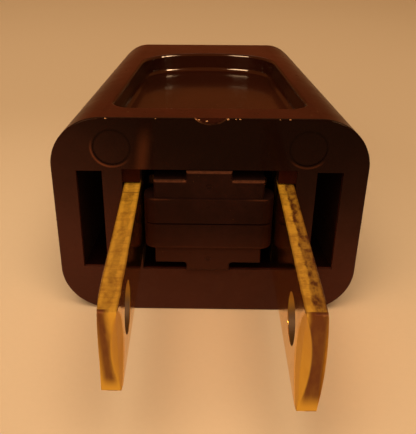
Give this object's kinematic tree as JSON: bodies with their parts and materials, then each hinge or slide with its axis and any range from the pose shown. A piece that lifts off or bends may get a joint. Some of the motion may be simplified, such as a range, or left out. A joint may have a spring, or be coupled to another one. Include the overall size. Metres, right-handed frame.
{
  "type": "quick connect lamp plug",
  "caption": "Flat polarised mains plug whose core, with its hinged brass blades, slides out of a tapered thumb-grip housing to take a flat lamp cord.",
  "frame": {"origin": "centre of the mating face, midway between the two blades", "axes": "the blades point along -Y, the housing runs back along +Y, and the thumb recess is on +Z"},
  "size_m": [0.026, 0.0453, 0.0184],
  "materials": {
    "housing": "dark chocolate brown moulded plastic, satin outside and glossy in the recess",
    "core": "dark chocolate brown moulded plastic, satin",
    "blades": "stamped brass strip with tarnished sheared edges"
  },
  "bodies": {
    "housing": {"housing": "housing"},
    "core": {"core_upper": "core", "core_lower": "core"},
    "narrow_blade": {"narrow_blade": "blades"},
    "wide_blade": {"wide_blade": "blades"}
  },
  "joints": [
    {"name": "core_slide", "type": "slide", "parent": "housing", "child": "core", "axis": [0, -1, 0], "range_m": [0, 0.03]},
    {"name": "narrow_blade_pivot", "type": "hinge", "parent": "core", "child": "narrow_blade", "pos_m": [-0.00615, 0.0168, 0], "axis": [0, 0, 1], "range_deg": [-0.3, 0.5]},
    {"name": "wide_blade_pivot", "type": "hinge", "parent": "core", "child": "wide_blade", "pos_m": [0.00615, 0.0168, 0], "axis": [0, 0, -1], "range_deg": [-0.3, 0.5]}
  ]
}
